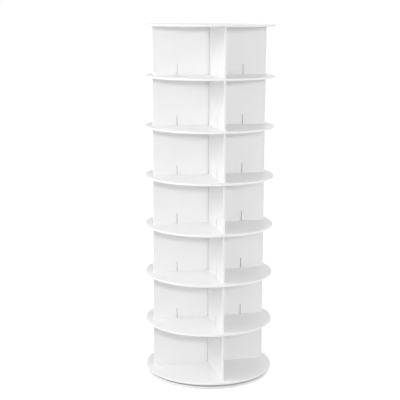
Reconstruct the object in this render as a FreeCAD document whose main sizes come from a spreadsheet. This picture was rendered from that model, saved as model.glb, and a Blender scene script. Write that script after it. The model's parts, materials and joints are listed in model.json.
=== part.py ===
import FreeCAD, Part
import os
import re
import Sketcher

# Rotating shoe tower. Round shelf discs are stacked on four upright dividers per tier, the
# dividers standing in a cross on the +X, +Y, -X and -Y sides of the axis. The whole stack
# turns on a ball ring between the lowest shelf (the turntable) and a fixed disc on the floor.
# The origin is on the floor, on the turning axis, with +Z up. All sizes are in millimetres.

document = FreeCAD.newDocument("shoe_tower")
sheet = document.addObject("Spreadsheet::Sheet", "Sizes")

SIZES = [
    # boards: shelves and dividers are cut from one thickness of sheet
    ("board", 8),
    ("disc_radius", 250),
    ("clear_height", 185),
    ("tier_count", 7),
    ("disc_edge", 1),
    ("divider_edge", 0.8),
    ("divider_setback", 25),
    ("divider_gap", 0.4),
    # tongue under each divider, which snaps through the shelf below it
    ("tongue_circle", 131),
    ("tongue_width", 60),
    ("tongue_below", 6),
    ("tongue_short", 0.5),
    ("tongue_lead", 1.5),
    ("barb", 0.9),
    ("catch_gap", 0.2),
    ("slit_width", 3),
    ("slit_rise", 40),
    ("slot_fit", 0.25),
    ("notch_fit", 0.5),
    # countersunk screws
    ("screw_radius", 1.75),
    ("head_radius", 3.6),
    ("head_rim", 0.4),
    ("screw_point", 3),
    ("screw_fit", 0.1),
    ("recess_reach", 1.9),
    ("recess_half", 0.5),
    ("recess_depth", 1.4),
    ("divider_screw", 35),
    ("inner_screw_circle", 60),
    ("outer_screw_inset", 25),
    ("pilot_spare", 1),
    # foot: fixed disc and its pads
    ("lower_setback", 7.5),
    ("pad_radius", 15),
    ("pad_thickness", 2),
    ("pad_edge", 0.5),
    ("pad_inset", 37.5),
    ("pad_count", 6),
    # ball ring: two flat rings with facing grooves, a cage and its balls
    ("bearing_height", 8.5),
    ("ring_height", 8),
    ("ring_edge", 0.6),
    ("inner_ring_width", 22),
    ("outer_ring_width", 17),
    ("race_gap", 1.4),
    ("ball_circle", 132.5),
    ("ball_radius", 2.4),
    ("ball_fit", 0.3),
    ("ball_count", 48),
    ("cage_wall", 0.6),
    ("cage_height", 6),
    ("ring_screw_grip", 6),
    ("inner_ring_screw_inset", 9),
    ("outer_ring_screw_inset", 7.5),
    ("inner_ring_screw_count", 4),
    ("inner_ring_screw_turn", 45),
    ("outer_ring_screw_count", 6),
]
for row, (alias, number) in enumerate(SIZES, start=1):
    sheet.set(f"A{row}", alias)
    sheet.set(f"B{row}", str(number))
    sheet.setAlias(f"B{row}", alias)
document.recompute()

# Sizes worked out from the driving ones, as formulas of the sheet's names.
PITCH = "(clear_height + board)"
LOWER_RADIUS = "(disc_radius - lower_setback)"
BEARING_Z = "(pad_thickness + board)"
TURNTABLE_Z = f"({BEARING_Z} + bearing_height)"
INNER_RING_Z = f"({TURNTABLE_Z} - ring_height)"
FIRST_FLOOR_Z = f"({TURNTABLE_Z} + board)"
TOP_Z = f"({FIRST_FLOOR_Z} + tier_count * {PITCH})"
DIVIDER_INNER = "(board / 2 + divider_gap)"
DIVIDER_OUTER = "(disc_radius - divider_setback)"
OUTER_SCREW_CIRCLE = f"({DIVIDER_OUTER} - outer_screw_inset)"
DIVIDER_SCREW_CIRCLES = ["inner_screw_circle", OUTER_SCREW_CIRCLE]
INNER_RACE_RADIUS = "(ball_circle - race_gap / 2)"
OUTER_RACE_RADIUS = "(ball_circle + race_gap / 2)"
INNER_RING_SCREW_CIRCLE = f"({INNER_RACE_RADIUS} - inner_ring_width + inner_ring_screw_inset)"
OUTER_RING_SCREW_CIRCLE = f"({OUTER_RACE_RADIUS} + outer_ring_width - outer_ring_screw_inset)"
INNER_RING_SCREW = "(ring_height + ring_screw_grip)"
OUTER_RING_SCREW = "(board + ring_screw_grip)"
HEAD_HEIGHT = "(head_rim + head_radius - screw_radius)"

SIDES = {"right": "0", "back": "90", "left": "180", "front": "270"}


def formula(text):
    """The sheet expression for a formula of its names."""
    return re.sub(r"[a-z_]+", lambda word: "Sizes." + word.group(), text)


def whole(alias):
    """A whole number held by the sheet."""
    return int(sheet.get(alias))


def new_body(label, height="0", turn="0", upside_down=False):
    """A body at a height on the axis, turned about it, or rolled over so that its z = 0 is on top."""
    body = document.addObject("PartDesign::Body", label)
    body.Label = label
    body.AllowCompound = True
    if upside_down:
        body.Placement.Rotation = FreeCAD.Rotation(FreeCAD.Vector(1, 0, 0), 180)
    elif turn != "0":
        body.Placement.Rotation = FreeCAD.Rotation(FreeCAD.Vector(0, 0, 1), 1)
        body.setExpression("Placement.Rotation.Angle", formula(turn))
    body.setExpression("Placement.Base.z", formula(height))
    return body


def origin_feature(body, role):
    return next(feature for feature in body.Origin.OriginFeatures if feature.Role == role)


def new_sketch(body, role):
    """A sketch on one of the body's own origin planes."""
    sketch = body.newObject("Sketcher::SketchObject", body.Label + "_sketch")
    sketch.AttachmentSupport = (origin_feature(body, role), [""])
    sketch.MapMode = "FlatFace"
    return sketch


def measure(sketch, kind, text, *place):
    """Add a dimension at its place and bind it to a formula of the sheet."""
    index = sketch.addConstraint(Sketcher.Constraint(kind, *place, 1.0))
    sketch.setExpression(f"Constraints[{index}]", formula(text))


def locate(sketch, edge, point, across, up):
    """Dimension a point of an edge from the sketch's origin."""
    measure(sketch, "DistanceX", across, -1, 1, edge, point)
    measure(sketch, "DistanceY", up, -1, 1, edge, point)


def add_polygon(sketch, corners):
    """A closed outline of straight lines, each corner given by its two distances."""
    edges = []
    for step in range(len(corners)):
        start = FreeCAD.Vector(step, step % 2, 0)
        end = FreeCAD.Vector(step + 1, (step + 1) % 2, 0)
        edges.append(sketch.addGeometry(Part.LineSegment(start, end), False))
    for step, edge in enumerate(edges):
        sketch.addConstraint(Sketcher.Constraint("Coincident", edges[step - 1], 2, edge, 1))
        locate(sketch, edge, 1, *corners[step])


def add_circle(sketch, across, up, radius):
    edge = sketch.addGeometry(Part.Circle(FreeCAD.Vector(0, 0, 0), FreeCAD.Vector(0, 0, 1), 1), False)
    locate(sketch, edge, 3, across, up)
    measure(sketch, "Radius", radius, edge)


def finish(body, feature):
    body.Tip = feature
    return feature


def pad(body, sketch, length, symmetric=False):
    feature = body.newObject("PartDesign::Pad", body.Label + "_pad")
    feature.Profile = sketch
    feature.setExpression("Length", formula(length))
    if symmetric:
        feature.SideType = "Symmetric"
    return finish(body, feature)


def cut_through(body, sketch):
    """Cut the sketch's outline right through the body, both ways from the sketch's plane."""
    feature = body.newObject("PartDesign::Pocket", body.Label + "_cut")
    feature.Profile = sketch
    feature.Type = "ThroughAll"
    feature.SideType = "Symmetric"
    return finish(body, feature)


def cut_upwards(body, sketch, depth):
    """Cut the sketch's outline from the body's own z = 0 towards +Z."""
    feature = body.newObject("PartDesign::Pocket", body.Label + "_recess")
    feature.Profile = sketch
    feature.setExpression("Length", formula(depth))
    feature.Reversed = True
    return finish(body, feature)


def turned(body, kind, axis_x, corners, turn="0"):
    """Revolve an outline about the upright line at x = axis_x, on the XZ plane or turned from it."""
    sketch = new_sketch(body, "XZ_Plane")
    if turn != "0":
        sketch.AttachmentOffset.Rotation = FreeCAD.Rotation(FreeCAD.Vector(0, 1, 0), 1)
        sketch.setExpression("AttachmentOffset.Rotation.Angle", formula(turn))
    line = Part.LineSegment(FreeCAD.Vector(0, 0, 0), FreeCAD.Vector(0, 1, 0))
    axis = sketch.addGeometry(line, True)
    locate(sketch, axis, 1, axis_x, "0")
    locate(sketch, axis, 2, axis_x, "1")
    add_polygon(sketch, [(f"{axis_x} + {across}", up) for across, up in corners])
    feature = body.newObject("PartDesign::" + kind, body.Label + "_turned")
    feature.Profile = sketch
    feature.ReferenceAxis = (sketch, ["Axis0"])
    feature.Angle = 360
    return finish(body, feature)


def turned_groove(body, across, up, radius):
    """Cut a round groove about the body's own Z axis."""
    sketch = new_sketch(body, "XZ_Plane")
    add_circle(sketch, across, up, radius)
    feature = body.newObject("PartDesign::Groove", body.Label + "_groove")
    feature.Profile = sketch
    feature.ReferenceAxis = (origin_feature(body, "Z_Axis"), [""])
    feature.Angle = 360
    return finish(body, feature)


def around_axis(body, features, number):
    """Repeat features evenly round the body's Z axis."""
    pattern = body.newObject("PartDesign::PolarPattern", body.Label + "_pattern")
    pattern.Originals = features
    pattern.Axis = (origin_feature(body, "Z_Axis"), [""])
    pattern.Angle = 360
    if isinstance(number, str):
        pattern.setExpression("Occurrences", formula(number))
    else:
        pattern.Occurrences = number
    return finish(body, pattern)


def dress(body, kind, prop, size, chosen):
    """Round or bevel the edges of the body's last feature that chosen() picks."""
    document.recompute()
    base = body.Tip
    names = [f"Edge{n}" for n, edge in enumerate(base.Shape.Edges, start=1) if chosen(edge)]
    feature = body.newObject("PartDesign::" + kind, body.Label + "_edges")
    feature.Base = (base, names)
    feature.setExpression(prop, formula(size))
    return finish(body, feature)


def is_circle(edge):
    return isinstance(edge.Curve, Part.Circle)


def is_end_upright(edge, end_line):
    """Whether an edge runs upright beyond the line x = end_line."""
    return edge.BoundBox.XMin > end_line and edge.BoundBox.ZLength > edge.BoundBox.YLength


def round_board(label, height, radius, upside_down=False):
    """A disc with softened rims, standing on its own z = 0."""
    body = new_body(label, height, upside_down=upside_down)
    sketch = new_sketch(body, "XY_Plane")
    add_circle(sketch, "0", "0", radius)
    pad(body, sketch, "board")
    dress(body, "Fillet", "Radius", "disc_edge", is_circle)
    return body


def tongue_slots(body):
    """The four slots that take the dividers' tongues."""
    sketch = new_sketch(body, "XY_Plane")
    near = "tongue_circle - tongue_width / 2 - slot_fit"
    far = "tongue_circle + tongue_width / 2 + slot_fit"
    half = "board / 2 + slot_fit"
    add_polygon(sketch, [(near, f"-({half})"), (far, f"-({half})"), (far, half), (near, half)])
    around_axis(body, [cut_through(body, sketch)], len(SIDES))


def screw_holes(body, circles, number, depth):
    """Countersunk holes from the body's own z = 0 up, on each of the circles."""
    wall = "screw_radius + screw_fit"
    cone = f"{HEAD_HEIGHT} + screw_fit"
    head = "head_radius + screw_fit"
    outline = [("0", "0"), (head, "0"), (head, "head_rim"), (wall, cone), (wall, depth), ("0", depth)]
    holes = [turned(body, "Groove", circle, outline) for circle in circles]
    around_axis(body, holes, number)


def pilot_hole(body, circle, mouth, end, turn="0"):
    """A plain hole for a screw's thread, from its mouth to its end."""
    wall = "screw_radius + screw_fit"
    outline = [("0", mouth), (wall, mouth), (wall, end), ("0", end)]
    return turned(body, "Groove", circle, outline, turn)


def screw_group(label, height, circles, number, length, turn="0", upside_down=False):
    """Countersunk screws with their heads' faces at the body's own z = 0, pointing along +Z."""
    body = new_body(label, height, turn, upside_down)
    outline = [
        ("0", "0"),
        ("head_radius", "0"),
        ("head_radius", "head_rim"),
        ("screw_radius", HEAD_HEIGHT),
        ("screw_radius", f"{length} - screw_point"),
        ("0", length),
    ]
    features = []
    for circle in circles:
        features.append(turned(body, "Revolution", circle, outline))
        reaches = [("recess_reach", "recess_half"), ("recess_half", "recess_reach")]
        for along, across in reaches:
            sketch = new_sketch(body, "XY_Plane")
            corners = [
                (f"{circle} - {along}", f"-{across}"),
                (f"{circle} + {along}", f"-{across}"),
                (f"{circle} + {along}", across),
                (f"{circle} - {along}", across),
            ]
            add_polygon(sketch, corners)
            features.append(cut_upwards(body, sketch, "recess_depth"))
    around_axis(body, features, number)
    return body


def anti_slip_pads():
    body = new_body("anti_slip_pads")
    sketch = new_sketch(body, "XY_Plane")
    add_circle(sketch, f"{LOWER_RADIUS} - pad_inset", "0", "pad_radius")
    disc = pad(body, sketch, "pad_thickness")
    middle = sheet.get("pad_thickness") / 2
    softened = dress(body, "Fillet", "Radius", "pad_edge", lambda edge: edge.BoundBox.ZMax < middle)
    around_axis(body, [disc, softened], "pad_count")


def lower_base_disc():
    body = round_board("lower_base_disc", "pad_thickness", LOWER_RADIUS)
    screw_holes(body, [OUTER_RING_SCREW_CIRCLE], "outer_ring_screw_count", "board")


def bearing_ring(label, height, inside, outside, turn="0"):
    """A flat ring with bevelled edges, standing on its own z = 0."""
    body = new_body(label, height, turn)
    sketch = new_sketch(body, "XY_Plane")
    add_circle(sketch, "0", "0", inside)
    add_circle(sketch, "0", "0", outside)
    pad(body, sketch, "ring_height")
    dress(body, "Chamfer", "Size", "ring_edge", is_circle)
    return body


def bearing_outer_ring():
    outside = f"{OUTER_RACE_RADIUS} + outer_ring_width"
    body = bearing_ring("bearing_outer_ring", BEARING_Z, OUTER_RACE_RADIUS, outside)
    turned_groove(body, "ball_circle", "bearing_height / 2", "ball_radius + ball_fit")
    hole = pilot_hole(body, OUTER_RING_SCREW_CIRCLE, "0", "ring_screw_grip + pilot_spare / 2")
    around_axis(body, [hole], "outer_ring_screw_count")


def bearing_inner_ring():
    inside = f"{INNER_RACE_RADIUS} - inner_ring_width"
    turn = "inner_ring_screw_turn"
    body = bearing_ring("bearing_inner_ring", INNER_RING_Z, inside, INNER_RACE_RADIUS, turn)
    turned_groove(body, "ball_circle", "ring_height - bearing_height / 2", "ball_radius + ball_fit")
    screw_holes(body, [INNER_RING_SCREW_CIRCLE], "inner_ring_screw_count", "ring_height")


def ball_cage():
    """A thin ring between the races with a round window for each ball."""
    body = new_body("ball_cage", f"{BEARING_Z} + bearing_height / 2 - cage_height / 2")
    sketch = new_sketch(body, "XY_Plane")
    add_circle(sketch, "0", "0", "ball_circle - cage_wall / 2")
    add_circle(sketch, "0", "0", "ball_circle + cage_wall / 2")
    pad(body, sketch, "cage_height")
    windows = new_sketch(body, "YZ_Plane")
    add_circle(windows, "0", "cage_height / 2", "ball_radius + ball_fit")
    window = body.newObject("PartDesign::Pocket", "cage_window")
    window.Profile = windows
    window.setExpression("Length", formula("ball_circle + cage_wall"))
    window.Reversed = True
    finish(body, window)
    around_axis(body, [window], "ball_count")


def bearing_balls():
    body = new_body("bearing_balls", f"{BEARING_Z} + bearing_height / 2")
    ball = body.newObject("PartDesign::AdditiveSphere", "ball")
    ball.AttachmentSupport = (origin_feature(body, "XY_Plane"), [""])
    ball.MapMode = "FlatFace"
    ball.setExpression("AttachmentOffset.Base.x", formula("ball_circle"))
    ball.setExpression("Radius", formula("ball_radius"))
    finish(body, ball)
    around_axis(body, [ball], "ball_count")


def turntable_disc():
    body = round_board("turntable_disc", TURNTABLE_Z, "disc_radius")
    tongue_slots(body)
    screw_holes(body, DIVIDER_SCREW_CIRCLES, len(SIDES), "board")
    depth = "ring_screw_grip + pilot_spare / 2"
    hole = pilot_hole(body, INNER_RING_SCREW_CIRCLE, "0", depth, "inner_ring_screw_turn")
    around_axis(body, [hole], "inner_ring_screw_count")


def shelf_disc(tier):
    height = f"{FIRST_FLOOR_Z} + {tier} * {PITCH} - board"
    tongue_slots(round_board(f"shelf_disc_{tier}", height, "disc_radius"))


def top_disc():
    body = round_board("top_disc", TOP_Z, "disc_radius", upside_down=True)
    screw_holes(body, DIVIDER_SCREW_CIRCLES, len(SIDES), "board")


def tongue_corners(lowest):
    """The outline of the tongue below a divider's lower edge, from the axis outwards."""
    near = "tongue_circle - tongue_width / 2"
    far = "tongue_circle + tongue_width / 2"
    if lowest:
        end = "-(board - tongue_short)"
        return [(near, "0"), (near, end), (far, end), (far, "0")]
    catch = "-(board + catch_gap)"
    end = "-(board + tongue_below)"
    return [
        (near, "0"),
        (near, catch),
        (f"{near} - barb", catch),
        (f"{near} + tongue_lead", end),
        (f"{far} - tongue_lead", end),
        (f"{far} + barb", catch),
        (far, catch),
        (far, "0"),
    ]


def notch_corners():
    """The outline of the notch for the tongue of the divider above, towards the axis."""
    floor = "clear_height - tongue_below - notch_fit"
    half = "tongue_width / 2 + barb + notch_fit"
    far = f"tongue_circle + {half}"
    near = f"tongue_circle - ({half})"
    return [(far, "clear_height"), (far, floor), (near, floor), (near, "clear_height")]


def divider(tier, side):
    """An upright board in the XZ plane, its lower edge on its own z = 0, turned to its side."""
    lowest = tier == 1
    highest = tier == whole("tier_count")
    body = new_body(f"divider_{tier}_{side}", f"{FIRST_FLOOR_Z} + {tier - 1} * {PITCH}", SIDES[side])
    outer_end = [(DIVIDER_OUTER, "0"), (DIVIDER_OUTER, "clear_height")]
    outline = [(DIVIDER_INNER, "0")] + tongue_corners(lowest) + outer_end
    if not highest:
        outline += notch_corners()
    outline.append((DIVIDER_INNER, "clear_height"))
    sketch = new_sketch(body, "XZ_Plane")
    add_polygon(sketch, outline)
    blank = pad(body, sketch, "board", symmetric=True)
    document.recompute()
    end_line = blank.Shape.BoundBox.XMax - sheet.get("divider_edge")
    dress(body, "Fillet", "Radius", "divider_edge", lambda edge: is_end_upright(edge, end_line))
    if not lowest:
        tongue_slit(body)
    grip = "(divider_screw - board + pilot_spare)"
    for circle in DIVIDER_SCREW_CIRCLES:
        if lowest:
            pilot_hole(body, circle, "0", grip)
        if highest:
            pilot_hole(body, circle, "clear_height", f"clear_height - {grip}")


def tongue_slit(body):
    """The round-topped slit that lets the two halves of the tongue spring together."""
    half = "slit_width / 2"
    shoulder = f"slit_rise - {half}"
    below = "-(board + tongue_below + slit_width)"
    sketch = new_sketch(body, "XZ_Plane")
    near = f"tongue_circle - {half}"
    far = f"tongue_circle + {half}"
    add_polygon(sketch, [(near, below), (far, below), (far, shoulder), (near, shoulder)])
    cut_through(body, sketch)
    top = new_sketch(body, "XZ_Plane")
    add_circle(top, "tongue_circle", shoulder, half)
    cut_through(body, top)


anti_slip_pads()
lower_base_disc()
bearing_outer_ring()
screw_group("outer_ring_screws", "pad_thickness", [OUTER_RING_SCREW_CIRCLE],
            "outer_ring_screw_count", OUTER_RING_SCREW)
ball_cage()
bearing_balls()
bearing_inner_ring()
screw_group("inner_ring_screws", INNER_RING_Z, [INNER_RING_SCREW_CIRCLE],
            "inner_ring_screw_count", INNER_RING_SCREW, turn="inner_ring_screw_turn")
turntable_disc()
screw_group("turntable_screws", TURNTABLE_Z, DIVIDER_SCREW_CIRCLES, len(SIDES), "divider_screw")
for tier in range(1, whole("tier_count") + 1):
    for side in SIDES:
        divider(tier, side)
for tier in range(1, whole("tier_count")):
    shelf_disc(tier)
top_disc()
screw_group("top_disc_screws", TOP_Z, DIVIDER_SCREW_CIRCLES,
            len(SIDES), "divider_screw", upside_down=True)

document.recompute()
for item in document.Objects:
    if "Invalid" in item.State or "Error" in item.State:
        raise RuntimeError(f"{item.Label} is {item.State}")

os.makedirs("parts", exist_ok=True)
for item in document.Objects:
    if item.isDerivedFrom("PartDesign::Body"):
        shape = item.Shape
        if shape.isNull() or not shape.isValid():
            raise RuntimeError(f"{item.Label} has no valid shape")
        shape.exportStep(f"parts/{item.Label}.step")
        print(item.Label, len(shape.Solids), round(shape.Volume, 1))
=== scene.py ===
import json
import math

import bpy
from mathutils import Matrix, Vector


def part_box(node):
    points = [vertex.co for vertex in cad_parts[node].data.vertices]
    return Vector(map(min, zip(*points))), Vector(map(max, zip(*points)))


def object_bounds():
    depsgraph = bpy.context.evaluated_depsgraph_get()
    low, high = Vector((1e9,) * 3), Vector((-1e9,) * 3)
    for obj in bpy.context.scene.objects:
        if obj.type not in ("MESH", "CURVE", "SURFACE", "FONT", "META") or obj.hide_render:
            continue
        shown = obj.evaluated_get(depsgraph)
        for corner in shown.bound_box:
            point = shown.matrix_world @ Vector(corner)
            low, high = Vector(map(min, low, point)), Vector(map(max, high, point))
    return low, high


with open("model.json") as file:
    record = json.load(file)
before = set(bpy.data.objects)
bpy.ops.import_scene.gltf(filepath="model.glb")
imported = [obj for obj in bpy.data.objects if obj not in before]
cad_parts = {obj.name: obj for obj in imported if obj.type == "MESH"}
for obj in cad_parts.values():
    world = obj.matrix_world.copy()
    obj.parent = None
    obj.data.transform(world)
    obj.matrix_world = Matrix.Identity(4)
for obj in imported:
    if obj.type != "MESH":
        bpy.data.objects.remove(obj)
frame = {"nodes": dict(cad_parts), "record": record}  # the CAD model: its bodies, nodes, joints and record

# From the frame, in metres: the object's box, the middle of it, and the shelves' radius
CAD_LOW, CAD_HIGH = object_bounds()
MIDDLE = (CAD_LOW + CAD_HIGH) / 2
SHELF_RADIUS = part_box("top_disc")[1].x  # from the box's highest corner

MILLIMETRE = 0.001

# The dividers' tongues are split by slits at this distance from the axis, and the slits' walls lie
# within this reach of it. The sawn faces there are painted dark grey as shade
SLIT_CIRCLE = 131 * MILLIMETRE
SLIT_REACH = 4 * MILLIMETRE

# The picture is square and as wide as the camera's sensor. The focal length is in its pixels, the
# sensor in millimetres, the distance from the axis and the height in metres, the angles in degrees
IMAGE_SIDE = 400
SENSOR_WIDTH = 36.0
FOCAL_PIXELS = 1000.4
CAMERA_DISTANCE = 3.880
CAMERA_HEIGHT = 1.4177
CAMERA_AZIMUTH = -14.5
CAMERA_PAN = -0.532
CAMERA_TILT = 10.581
CAMERA_ROLL = 0.225

# Lamps: azimuth in degrees from the front towards the right, height, distance from the axis and side
# in metres, and power in watts
LAMPS = {
    "key_high": {"azimuth": -96, "height": 3.2, "distance": 4.0, "side": 1.4, "power": 39},
    "key_low": {"azimuth": -90, "height": 2.15, "distance": 3.6, "side": 1.3, "power": 27},
    "left": {"azimuth": -70, "height": 1.4, "distance": 4.0, "side": 0.4, "power": 16},
    "front": {"azimuth": 0, "height": 1.7, "distance": 4.0, "side": 0.3, "power": 36},
    "right": {"azimuth": 80, "height": 1.0, "distance": 3.0, "side": 1.2, "power": 20},
    "back": {"azimuth": 150, "height": 2.2, "distance": 3.0, "side": 1.2, "power": 6},
}

# The sky's light: its strength at the rim and overhead, and what each side has of it
SKY_RIM = 0.37
SKY_TOP = 1.08
SKY_LEFT = 1.35
SKY_RIGHT = 0.65
SKY_FRONT = 1.2
SKY_BACK = 0.35

# The floor reaches this far to each side, in metres. It glows where it is seen, in gloss and through
# glass as well, but the glow lights no matt face. It grows from NEAR_GLOW at NEAR_FLOOR from the axis,
# where the shadow falls, to FAR_GLOW at FAR_FLOOR
FLOOR_REACH = 30.0
FLOOR_COLOUR = 0.65
NEAR_GLOW = 0.55
FAR_GLOW = 0.66
NEAR_FLOOR = 3.2 * SHELF_RADIUS
FAR_FLOOR = 20 * SHELF_RADIUS

# Bare metals: how light and how rough they are, the size of their grain, the scale of its coordinates
# where the metal is drawn, and the pitch of the rings that a lathe left. Lengths are in metres
METALS = {
    "ring_metal": {"level": 0.74, "roughness": 0.26, "grain_size": 0.0008, "ring_pitch": 0.0005},
    "cage_metal": {"level": 0.60, "roughness": 0.30, "grain_size": 0.0006, "grain_stretch": (1, 1, 12)},
    "ball_steel": {"level": 0.80, "roughness": 0.06, "grain_size": 0.0009},
    "screw_steel": {"level": 0.66, "roughness": 0.24, "grain_size": 0.0005},
}

WHITE = (1, 1, 1, 1)

# The scale that leaves coordinates as they are, and the one that takes the height out of them
EVENLY = (1, 1, 1)
FLAT = (1, 1, 0)

# The part of a noise's range that is spread over a material's whole range of roughness
NOISE_LOW = 0.3
NOISE_HIGH = 0.7

# How squarely a face looks along the radius where it begins to count as sawn, and where it does fully
SAWN_FROM = 0.70
SAWN_FULL = 0.95


# Node helpers


def new_material(name):
    """An empty node material and its tree."""
    material = bpy.data.materials.new(name)
    material.use_nodes = True
    material.node_tree.nodes.clear()
    return material, material.node_tree


def add(tree, kind, settings=None, **inputs):
    """A node with its settings, and its inputs given as values or as another node's output.

    An input is called by its name, with _ for a space, or by _ and its number.
    """
    node = tree.nodes.new(kind)
    for name, value in (settings or {}).items():
        setattr(node, name, value)
    for name, value in inputs.items():
        key = int(name[1:]) if name[1:].isdigit() else name.replace("_", " ")
        socket = node.inputs[key]
        if isinstance(value, bpy.types.NodeSocket):
            tree.links.new(value, socket)
        else:
            socket.default_value = value
    return node


def math_node(tree, operation, first, second=0.0):
    return add(tree, "ShaderNodeMath", {"operation": operation}, _0=first, _1=second).outputs[0]


def vector_math(tree, operation, first, **second):
    """The outputs of a vector node: a length or a dot product is the one called Value."""
    return add(tree, "ShaderNodeVectorMath", {"operation": operation}, _0=first, **second).outputs


def remap(tree, value, low, high, to_low, to_high):
    """Value carried from one range to another, held at its ends."""
    node = add(tree, "ShaderNodeMapRange", None, _0=value, _1=low, _2=high, _3=to_low, _4=to_high)
    return node.outputs[0]


def object_place(tree, stretch=EVENLY):
    """The place in the piece's own coordinates, in metres, scaled along each axis."""
    place = add(tree, "ShaderNodeTexCoord").outputs["Object"]
    if stretch == EVENLY:
        return place
    return add(tree, "ShaderNodeMapping", None, Vector=place, Scale=stretch).outputs[0]


def noise(tree, size, detail=2.0, roughness=0.5, stretch=EVENLY):
    """Soft noise from 0 to 1, with lumps of about that size, in metres, in the stretched coordinates."""
    place = object_place(tree, stretch)
    inputs = {"Vector": place, "Scale": 1 / size, "Detail": detail, "Roughness": roughness}
    return add(tree, "ShaderNodeTexNoise", None, **inputs).outputs[0]


def cells(tree, size):
    """Distance to the nearest of scattered points that are about that far apart, in cells."""
    node = add(tree, "ShaderNodeTexVoronoi", None, Vector=object_place(tree), Scale=1 / size)
    return node.outputs["Distance"]


def from_axis(tree):
    """Distance from the tower's turning axis."""
    parts = add(tree, "ShaderNodeSeparateXYZ", None, _0=object_place(tree))
    flat = add(tree, "ShaderNodeCombineXYZ", None, _0=parts.outputs[0], _1=parts.outputs[1])
    return vector_math(tree, "LENGTH", flat.outputs[0])["Value"]


def blend_colours(tree, share, first, second):
    node = add(tree, "ShaderNodeMix", {"data_type": "RGBA"}, _0=share, _6=first, _7=second)
    return node.outputs[2]


def bump(tree, height, depth, below=None):
    """A bump of that depth, in metres, on another bump's normal or on the plain face."""
    inputs = {"Height": height, "Distance": depth, "Strength": 1.0}
    if below:
        inputs["Normal"] = below
    return add(tree, "ShaderNodeBump", None, **inputs).outputs[0]


def surface(tree, **inputs):
    """The shader and the material's output."""
    shader = add(tree, "ShaderNodeBsdfPrincipled", None, **inputs)
    add(tree, "ShaderNodeOutputMaterial", None, Surface=shader.outputs[0])


# Materials of the object: sizes and depths are in metres


def grey(level, warmth=0.0):
    """A grey that warmth turns towards red and away from blue."""
    return (level * (1 + warmth), level, level * (1 - warmth), 1.0)


def cut_face(tree):
    """1 on a board's sawn faces, which look along the radius, and 0 on its skins."""
    coordinates = add(tree, "ShaderNodeTexCoord").outputs
    flat = vector_math(tree, "MULTIPLY", coordinates["Object"], _1=FLAT)[0]
    radius = vector_math(tree, "NORMALIZE", flat)[0]
    facing = vector_math(tree, "DOT_PRODUCT", coordinates["Normal"], _1=radius)["Value"]
    return remap(tree, math_node(tree, "ABSOLUTE", facing), SAWN_FROM, SAWN_FULL, 0, 1)


def board_skin(tree):
    """The skin's colour: soft clouds of two whites, with small darker flecks."""
    cloud_size = 0.09
    dark_cloud = grey(0.87, 0.002)
    light_cloud = grey(0.90, 0.001)
    fleck_size = 0.0018
    fleck_from = 0.62
    fleck_full = 0.75
    fleck_strength = 0.35
    fleck_colour = grey(0.83, 0.004)
    clouds = blend_colours(tree, noise(tree, cloud_size, detail=3), dark_cloud, light_cloud)
    flecks = remap(tree, noise(tree, fleck_size), fleck_from, fleck_full, 0.0, fleck_strength)
    return blend_colours(tree, flecks, clouds, fleck_colour)


def board_sawn(tree, pores, slit_circle):
    """The sawn faces' colour: open pores, and in the narrow slits a painted shade, a darker grey."""
    foam_colour = grey(0.88, 0.004)
    pore_colour = grey(0.79, 0.006)
    # Painted shade: this dark grey stands for the shade inside the narrow slits
    slit_shade_colour = grey(0.55, 0.01)
    sawn = blend_colours(tree, pores, foam_colour, pore_colour)
    if not slit_circle:
        return sawn
    # Painted shade: sawn faces within SLIT_REACH of the slits' circle take the dark grey
    off_slit = math_node(tree, "SUBTRACT", from_axis(tree), slit_circle)
    off_slit = math_node(tree, "ABSOLUTE", off_slit)
    dust_and_painted_shade = remap(tree, off_slit, SLIT_REACH, SLIT_REACH + MILLIMETRE, 1, 0)
    return blend_colours(tree, dust_and_painted_shade, sawn, slit_shade_colour)


def board_relief(tree, edge, pores):
    """The board's normal: a fine peel on a long wave, and saw marks and pores on the sawn faces."""
    peel_size = 0.0022
    peel_depth = 0.00005
    wave_size = 0.12
    wave_depth = 0.0003
    saw_size = 0.0007
    saw_stretch = (0.06, 0.06, 1.0)  # the saw's marks are long level lines
    mark_depth = 0.00004
    peel = bump(tree, noise(tree, peel_size), peel_depth)
    wave = bump(tree, noise(tree, wave_size, detail=1), wave_depth, peel)
    saw = noise(tree, saw_size, roughness=0.6, stretch=saw_stretch)
    marks = math_node(tree, "MULTIPLY", math_node(tree, "ADD", saw, pores), edge)
    return bump(tree, marks, mark_depth, wave)


def board_material(name, slit_circle=None):
    """White foamed PVC board: a satin skin with faint flecks, and duller sawn faces with open pores."""
    pore_spacing = 0.0008
    pore_core = 0.10
    pore_rim = 0.36
    rubbed_size = 0.05
    smooth = 0.36
    rough = 0.48
    sawn_extra = 0.18
    material, tree = new_material(name)
    pores = remap(tree, cells(tree, pore_spacing), pore_core, pore_rim, 1.0, 0.0)
    edge = cut_face(tree)
    colour = blend_colours(tree, edge, board_skin(tree), board_sawn(tree, pores, slit_circle))
    rubbed = noise(tree, rubbed_size, detail=4, roughness=0.6)
    roughness = remap(tree, rubbed, NOISE_LOW, NOISE_HIGH, smooth, rough)
    roughness = math_node(tree, "ADD", roughness, math_node(tree, "MULTIPLY", edge, sawn_extra))
    surface(tree, Base_Color=colour, Roughness=roughness, Normal=board_relief(tree, edge, pores))
    return material


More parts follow.
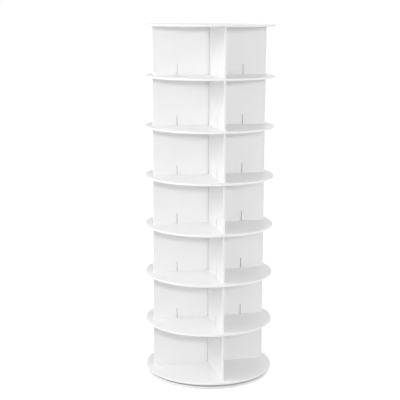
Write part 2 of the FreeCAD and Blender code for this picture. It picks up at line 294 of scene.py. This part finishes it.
def metal_material(name, level, roughness, grain_size, grain_stretch=EVENLY, ring_pitch=None):
    """Bare metal with a fine grain, patches where it has dulled, and rings if they have a pitch."""
    patch_size = 0.012
    bright_warmth = -0.004
    dull_warmth = 0.006
    dull_share = 0.86
    dull_extra = 0.14
    grain_extra = 0.04
    grain_depth = 0.00001
    ring_depth = 0.000006
    material, tree = new_material(name)
    dulled = noise(tree, patch_size, detail=4, roughness=0.6)
    bright = grey(level, bright_warmth)
    dull = grey(level * dull_share, dull_warmth)
    grain = noise(tree, grain_size, detail=3, roughness=0.6, stretch=grain_stretch)
    patches = remap(tree, dulled, NOISE_LOW, NOISE_HIGH, roughness, roughness + dull_extra)
    lines = remap(tree, grain, NOISE_LOW, NOISE_HIGH, -grain_extra, grain_extra)
    normal = bump(tree, grain, grain_depth)
    if ring_pitch:
        turns = math_node(tree, "MULTIPLY", from_axis(tree), 2 * math.pi / ring_pitch)
        normal = bump(tree, math_node(tree, "SINE", turns), ring_depth, normal)
    colour = blend_colours(tree, dulled, bright, dull)
    roughness = math_node(tree, "ADD", patches, lines)
    surface(tree, Base_Color=colour, Metallic=1.0, Roughness=roughness, Normal=normal)
    return material


def white_screw_material(name):
    """Screws painted white, with the paint rubbed thin in small spots."""
    spot_size = 0.0015
    spot_from = 0.60
    spot_full = 0.68
    paint_colour = grey(0.86)
    rubbed_colour = grey(0.62)
    paint_roughness = 0.4
    rubbed_roughness = 0.3
    peel_size = 0.0008
    peel_depth = 0.00003
    material, tree = new_material(name)
    rubbed = remap(tree, noise(tree, spot_size, detail=4, roughness=0.7), spot_from, spot_full, 0.0, 1.0)
    colour = blend_colours(tree, rubbed, paint_colour, rubbed_colour)
    roughness = remap(tree, rubbed, 0, 1, paint_roughness, rubbed_roughness)
    normal = bump(tree, noise(tree, peel_size, detail=3), peel_depth)
    surface(tree, Base_Color=colour, Roughness=roughness, Normal=normal)
    return material


def rubber_material(name):
    """Moulded black rubber with a matt, slightly dusty skin."""
    dust_size = 0.006
    dust_from = 0.45
    dust_full = 0.75
    clean_colour = grey(0.025)
    dusty_colour = grey(0.09, 0.02)
    clean_roughness = 0.7
    dusty_roughness = 0.92
    grain_size = 0.0006
    grain_depth = 0.00006
    material, tree = new_material(name)
    dust_and_painted_shade = remap(tree, noise(tree, dust_size, detail=5, roughness=0.7), dust_from, dust_full, 0.0, 1.0)
    colour = blend_colours(tree, dust_and_painted_shade, clean_colour, dusty_colour)
    roughness = remap(tree, dust_and_painted_shade, 0, 1, clean_roughness, dusty_roughness)
    normal = bump(tree, noise(tree, grain_size, detail=3, roughness=0.6), grain_depth)
    surface(tree, Base_Color=colour, Roughness=roughness, Normal=normal)
    return material


def dress_nodes():
    """Gives every CAD node the material of its slot in the record."""
    looks = {
        "shelf_board": board_material("shelf_board"),
        "divider_board": board_material("divider_board", SLIT_CIRCLE),
    }
    for name, finish in METALS.items():
        looks[name] = metal_material(name, **finish)
    looks["screw_white"] = white_screw_material("screw_white")
    looks["pad_rubber"] = rubber_material("pad_rubber")
    for part in frame["record"]["subparts"]:
        mesh = frame["nodes"][part["node"]].data
        mesh.materials.clear()
        mesh.materials.append(looks[part["material_slot"]])


# Stage: floor, sky, lamps and camera


def new_object(name, data):
    """An object in the scene that holds that mesh, lamp or camera."""
    holder = bpy.data.objects.new(name, data)
    bpy.context.scene.collection.objects.link(holder)
    return holder


def around_axis(azimuth, distance, height):
    """The place at that azimuth, in degrees from the front towards the right."""
    turn = math.radians(azimuth)
    return Vector((math.sin(turn) * distance, -math.cos(turn) * distance, height))


def seen_directly(tree):
    """1 for rays from the camera and for those seen in gloss or through glass, else 0."""
    path = add(tree, "ShaderNodeLightPath").outputs
    sharp = math_node(tree, "MAXIMUM", path["Is Glossy Ray"], path["Is Transmission Ray"])
    return math_node(tree, "MAXIMUM", path["Is Camera Ray"], sharp)


def make_sky():
    """Soft light that differs from side to side, and plain white where the sky is seen."""
    world = bpy.data.worlds.new("studio")
    bpy.context.scene.world = world
    world.use_nodes = True
    tree = world.node_tree
    tree.nodes.clear()
    direction = add(tree, "ShaderNodeTexCoord").outputs["Generated"]
    across, along, upward = add(tree, "ShaderNodeSeparateXYZ", None, _0=direction).outputs
    light = remap(tree, upward, 0, 1, SKY_RIM, SKY_TOP)
    light = math_node(tree, "MULTIPLY", light, remap(tree, across, -1, 1, SKY_LEFT, SKY_RIGHT))
    light = math_node(tree, "MULTIPLY", light, remap(tree, along, -1, 1, SKY_FRONT, SKY_BACK))
    level = add(tree, "ShaderNodeMix", None, _0=seen_directly(tree), _2=light, _3=1.0).outputs[0]
    background = add(tree, "ShaderNodeBackground", None, Color=WHITE, Strength=level)
    add(tree, "ShaderNodeOutputWorld", None, Surface=background.outputs[0])


def make_floor():
    """A pale floor that reads as white and keeps the object's shadow."""
    corners = [(-1, -1), (1, -1), (1, 1), (-1, 1)]
    points = [(x * FLOOR_REACH, y * FLOOR_REACH, CAD_LOW.z) for x, y in corners]
    mesh = bpy.data.meshes.new("floor")
    mesh.from_pydata(points, [], [(0, 1, 2, 3)])
    floor = new_object("floor", mesh)
    material, tree = new_material("floor")
    diffuse = add(tree, "ShaderNodeBsdfDiffuse", None, Color=grey(FLOOR_COLOUR))
    glow = remap(tree, from_axis(tree), NEAR_FLOOR, FAR_FLOOR, NEAR_GLOW, FAR_GLOW)
    glow = math_node(tree, "MULTIPLY", seen_directly(tree), glow)
    emission = add(tree, "ShaderNodeEmission", None, Color=WHITE, Strength=glow)
    both = add(tree, "ShaderNodeAddShader", None, _0=diffuse.outputs[0], _1=emission.outputs[0])
    add(tree, "ShaderNodeOutputMaterial", None, Surface=both.outputs[0])
    mesh.materials.append(material)


def make_lamp(name, azimuth, height, distance, side, power):
    """A square area lamp that faces the middle of the tower."""
    lamp = bpy.data.lights.new(name, "AREA")
    lamp.shape = "SQUARE"
    lamp.size = side
    lamp.energy = power
    holder = new_object(name, lamp)
    place = around_axis(azimuth, distance, height)
    holder.location = place
    holder.rotation_euler = (MIDDLE - place).to_track_quat("-Z", "Y").to_euler()


def make_camera():
    """The photograph's view: towards the axis but for a small pan, tilted down and rolled a little."""
    camera = bpy.data.cameras.new("camera")
    camera.sensor_width = SENSOR_WIDTH
    camera.lens = FOCAL_PIXELS / IMAGE_SIDE * SENSOR_WIDTH
    holder = new_object("camera", camera)
    place = around_axis(CAMERA_AZIMUTH, CAMERA_DISTANCE, CAMERA_HEIGHT)
    heading = Matrix.Rotation(math.radians(CAMERA_AZIMUTH - CAMERA_PAN), 4, "Z")
    pitch = Matrix.Rotation(math.radians(90 - CAMERA_TILT), 4, "X")
    roll = Matrix.Rotation(math.radians(CAMERA_ROLL), 4, "Z")
    holder.matrix_world = Matrix.Translation(place) @ heading @ pitch @ roll
    bpy.context.scene.camera = holder


dress_nodes()
make_sky()
make_floor()
for name, lamp in LAMPS.items():
    make_lamp(name, **lamp)
make_camera()
bpy.context.scene.view_settings.view_transform = "Standard"
